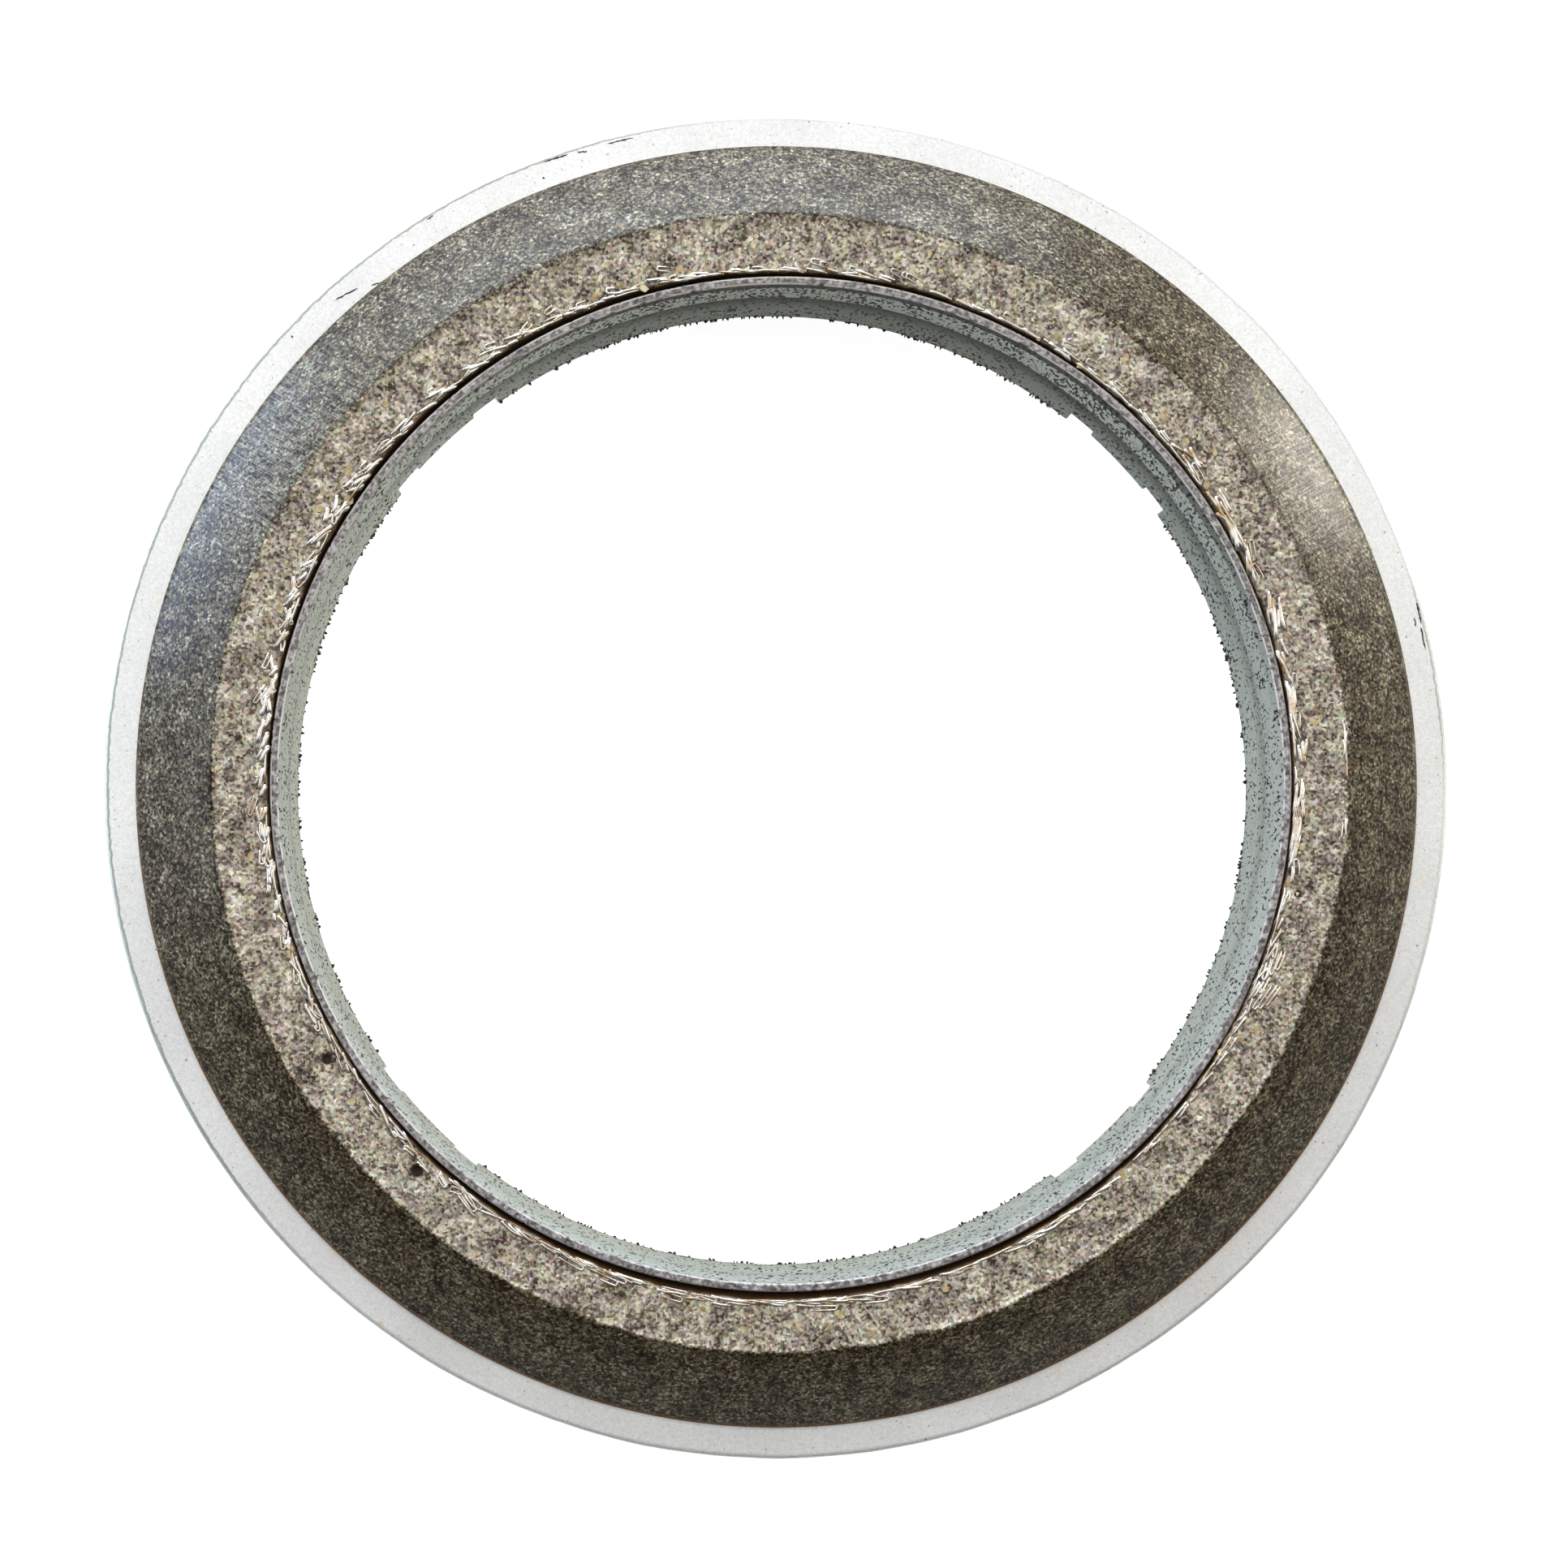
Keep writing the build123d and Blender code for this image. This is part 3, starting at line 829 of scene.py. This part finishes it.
def make_loops():
    """Hairpin loops of the knit, seen from above where they fold over at the lip.

    Each is a U: along its axis x = length (1 - |q|^3), across it y = half width x tanh(3q),
    turned by its lean and laid on the flat, with both feet sunk in it.
    """
    rng = np.random.default_rng(71)
    bundle = np.array([(113.3, 27.55, 3.36, 1.5, 0.10), (113.8, 27.30, 3.34, 1.6, 0.11),
                       (114.2, 27.06, 3.32, 1.5, 0.10), (112.6, 26.92, 3.24, 1.2, 0.09),
                       (110.9, 26.72, 3.08, 1.4, 0.10), (110.2, 26.98, 3.12, 1.3, 0.11),
                       (109.6, 27.25, 3.20, 1.2, 0.10), (108.6, 26.80, 3.02, 1.1, 0.09)])
    spread = [(250, 306, 16, 0.30, 1.0), (215, 250, 9, 0.3, 0.9), (48, 100, 12, 0.2, 1.4),
              (170, 212, 11, 0.10, 1.5), (306, 360, 11, 0.25, 0.7), (0, 48, 11, 0.2, 0.7)]
    rows = [bundle]
    for start, end, number, lean, length in spread:
        rows.append(np.stack([rng.uniform(start, end, number),
                              flat_inner + rng.uniform(0.12, 0.75, number),
                              lean * rng.normal(1, 0.3, number) * rng.choice([1, 1, -1], number),
                              length * rng.uniform(0.7, 1.3, number),
                              rng.uniform(0.10, 0.14, number)], -1))
    at, radius, lean, length, half = np.concatenate(rows).T[:, :, None]
    count, rings = len(at), 15
    q = np.linspace(-1, 1, rings)[None, :]
    x = length * (1 - np.abs(q)**3) - length / 2
    y = half * np.tanh(3 * q)
    along, across = x * np.cos(lean) - y * np.sin(lean), x * np.sin(lean) + y * np.cos(lean)
    theta = clock(at) + along / radius
    r = np.maximum(radius + across, flat_inner + lip_shift(theta) + 0.02)
    half_width = rng.uniform(0.045, 0.070, (count, 1)) * np.ones_like(q)
    half_thick = half_width * 0.75
    height = ring_top - half_thick - 0.01 - 0.13 * np.abs(q)**5
    path = on_ring(r, theta, height)
    points = swept(path, half_width[..., None], half_thick[..., None])
    return new_object("knit_loops", points, tube_quads(count, rings), wire_material)


def make_mica():
    """Loose mica: thin six-cornered plates with uneven corners, each tipped a few degrees."""
    rng = np.random.default_rng(81)
    count = 120
    angle = rng.uniform(0, TURN, count)
    radius = flat_inner + lip_shift(angle) + 0.05 + 2.4 * rng.beta(1.0, 2.0, count)
    centre = on_ring(radius, angle, ring_top - 0.075 - rng.uniform(0, 0.03, count))
    size = rng.uniform(0.08, 0.24, (count, 1)) * rng.uniform(0.6, 1.3, (count, 6))
    turn = rng.uniform(0, TURN, (count, 1)) + np.arange(6)[None, :] * TURN / 6
    tip = rng.normal(0, 0.06, (count, 2, 1))
    flat = np.stack([size * np.cos(turn), size * np.sin(turn)], 1)
    rise = np.clip((tip * flat).sum(1), -0.06, 0.045)
    plate = np.stack([flat[:, 0], flat[:, 1], rise], -1)
    lower, upper = plate - [0, 0, 0.012], plate + [0, 0, 0.012]
    points = centre[:, None, None] + np.stack([lower, upper], 1)
    piece = new_object("mica_flakes", points, tube_quads(count, 2), mica_material)
    piece.data.shade_flat()
    return piece


def make_scuffs():
    """Dried dark scuffs on the flange: flat streaks a few hundredths of a millimetre thick."""
    streaks = np.array([  # x and y of both ends, and width
        (-23.40, 25.26, -22.13, 25.95, 0.09), (-21.45, 26.08, -20.99, 26.22, 0.09),
        (-12.47, 32.65, -11.19, 33.05, 0.10), (-10.68, 33.18, -10.17, 33.23, 0.12),
        (-9.15, 33.62, -7.74, 33.98, 0.11), (-18.58, 29.57, -18.20, 29.78, 0.09),
        (-25.62, 23.40, -25.52, 23.30, 0.11), (-12.50, 31.80, -12.40, 31.80, 0.10),
        (33.63, 9.60, 33.88, 8.49, 0.13), (33.84, 8.32, 34.10, 7.11, 0.11),
        (33.50, 8.83, 33.58, 8.31, 0.09)])
    rng = np.random.default_rng(95)
    count, rings = len(streaks), 13
    t = np.linspace(0, 1, rings)[None, :, None]
    path = streaks[:, None, 0:2] * (1 - t) + streaks[:, None, 2:4] * t
    path = path + rng.normal(0, 0.012, path.shape)
    path = np.concatenate([path, np.full((count, rings, 1), ring_base + 0.004)], -1)
    body = np.sqrt(np.clip(1 - (2 * t - 1)**4, 0.02, 1))[..., 0]
    body = body * rng.uniform(0.4, 1.1, (count, rings))
    half_width = streaks[:, 4:5] / 2 * body
    points = swept(path, half_width[..., None], 0.006 * np.ones((count, rings, 1)))
    return new_object("flange_scuffs", points, tube_quads(count, rings), dirt_material)


def make_crumbs():
    """Burrs and crumbs along the sleeve's lower edge: short tapered stubs, pointing inwards."""
    rng = np.random.default_rng(91)
    count = 420
    from_tab = np.radians(rng.uniform(8.4, 81.6, count))
    angle = np.radians(tab_azimuth) + from_tab + rng.integers(0, 4, count) * math.pi / 2
    size = rng.uniform(0.035, 0.12, (count, 1, 1))
    reach = np.array([-0.04, 0.02, 0.07, 0.11])[None, :] * rng.uniform(0.6, 1.5, (count, 1))
    centre = on_ring(spigot_bore - reach, angle[:, None],
                     rng.uniform(0.06, 0.32, (count, 1)) + 0.1 * reach)
    taper = np.array([1.0, 1.0, 0.7, 0.25])[None, :, None]
    corner = np.arange(6) * TURN / 6
    jag = rng.uniform(0.6, 1.2, (count, 1, 6))
    tangent = on_ring(1.0, angle + math.pi / 2, 0.0)[:, None, None]
    up = np.array([0.0, 0.0, 1.0])
    points = (centre[:, :, None] - tangent * (size * taper * jag * np.cos(corner))[..., None]
              + up * (0.8 * size * taper * jag * np.sin(corner))[..., None])
    points[..., 2] = np.maximum(points[..., 2], 0.005)
    return new_object("edge_crumbs", points, tube_quads(count, 4), dirt_material)


make_pressed_ring()
make_flange()
make_sleeve()
make_wires()
make_loops()
make_mica()
make_scuffs()
make_crumbs()


def make_floor():
    """Pale table: matt white to light, and white as a backdrop to the camera and reflections."""
    material = bpy.data.materials.new("matt_white_table")
    tree = empty_tree(material)
    matt = add(tree, "BsdfDiffuse", {"Color": (0.86, 0.86, 0.86, 1.0)})
    shaded = add(tree, "BsdfDiffuse", {"Color": (0.5, 0.5, 0.5, 1.0)})
    white = add(tree, "Emission", {"Color": (1, 1, 1, 1), "Strength": 0.90})
    glow = add(tree, "AddShader", links={0: shaded, 1: white})
    path = add(tree, "LightPath")
    seen = add(tree, "Math MAXIMUM", {},
               {0: path.outputs["Is Camera Ray"], 1: path.outputs["Is Glossy Ray"]})
    seen = add(tree, "Math MAXIMUM", {}, {0: seen, 1: path.outputs["Is Transmission Ray"]})
    both = add(tree, "MixShader", links={"Fac": seen, 1: matt, 2: glow})
    add(tree, "OutputMaterial", links={"Surface": both})
    half = 3000.0
    corners = [(x * half, y * half, -0.02) for x, y in ((-1, -1), (1, -1), (1, 1), (-1, 1))]
    floor = new_object("table", corners, [[0, 1, 2, 3]], material, body=None)


def make_light(name, at, elevation, distance, size, strength, tint, aim=6.0):
    """Rectangular softbox at a clock direction and an elevation, both in degrees, aimed `aim` mm
    above the table.

    Strength is the brightness of its face, so its power is that times pi times its area.
    """
    lamp = bpy.data.lights.new(name, "AREA")
    lamp.shape = "RECTANGLE"
    lamp.size, lamp.size_y = size
    lamp.energy = strength * math.pi * size[0] * size[1]
    lamp.color = colour(tint)[:3]
    angle, rise = float(clock(at)), math.radians(elevation)
    away = Vector((math.cos(angle) * math.cos(rise), math.sin(angle) * math.cos(rise),
                   math.sin(rise)))
    holder = bpy.data.objects.new(name, lamp)
    holder.location = away * distance + Vector((0, 0, aim * MM))
    holder.rotation_euler = away.to_track_quat("Z", "Y").to_euler()
    holder.visible_camera = False
    bpy.context.scene.collection.objects.link(holder)


def make_world():
    """Dim room, brightest overhead and a little towards the top of the picture."""
    world = bpy.data.worlds.new("studio_room")
    bpy.context.scene.world = world
    tree = empty_tree(world)
    way = add(tree, "TexCoord").outputs["Generated"]
    level = add(tree, "VectorMath DOT_PRODUCT", {1: (0.0, 0.3, 0.95)}, {0: way})
    shade = add(tree, "ValToRGB", {"stops": [(0.0, "#2b2825"), (0.6, "#6a6b6c"), (1.0, "#bcc0c2")]},
                {"Fac": level})
    back = add(tree, "Background", {"Strength": 0.8}, {"Color": shade})
    add(tree, "OutputWorld", links={"Surface": back})


make_floor()
make_world()
make_light("key_softbox", 350, 42, 0.80, (0.70, 0.40), 2.62, "#fbfdff")
make_light("overhead_softbox", 0, 79, 0.80, (1.10, 0.40), 1.35, "#ffffff")
make_light("left_softbox", 276, 20, 0.80, (0.50, 0.40), 4.3, "#dceaff")
make_light("right_softbox", 82, 32, 0.80, (0.45, 0.40), 3.2, "#fffaf2")
make_light("rear_softbox", 353, 8, 0.70, (0.95, 0.19), 15.5, "#e2efff")
make_light("left_strip", 298, 0, 0.095, (0.050, 0.005), 42.0, "#b4d2ff", 3.0)
make_light("right_strip", 58, 0, 0.095, (0.026, 0.005), 60.0, "#fffaf2", 3.0)

# fitted to the photo's circles: about 186 mm above the flat, a little to the lower left
camera_data = bpy.data.cameras.new("photo_camera")
camera_data.sensor_width = 36.0
camera_data.lens = 83.39
camera_data.clip_start = 0.001
camera = bpy.data.objects.new("photo_camera", camera_data)
eye, target = Vector((-7.26, -5.77, 199.12)) * MM, Vector((0.03, -0.14, 12.886)) * MM
back_axis = (eye - target).normalized()
right_axis = Vector((0, 1, 0)).cross(back_axis).normalized()
up_axis = back_axis.cross(right_axis)
camera.matrix_world = Matrix.Translation(eye) @ Matrix(
    (right_axis, up_axis, back_axis)).transposed().to_4x4()
bpy.context.scene.collection.objects.link(camera)
bpy.context.scene.camera = camera
bpy.context.scene.view_settings.view_transform = "Standard"
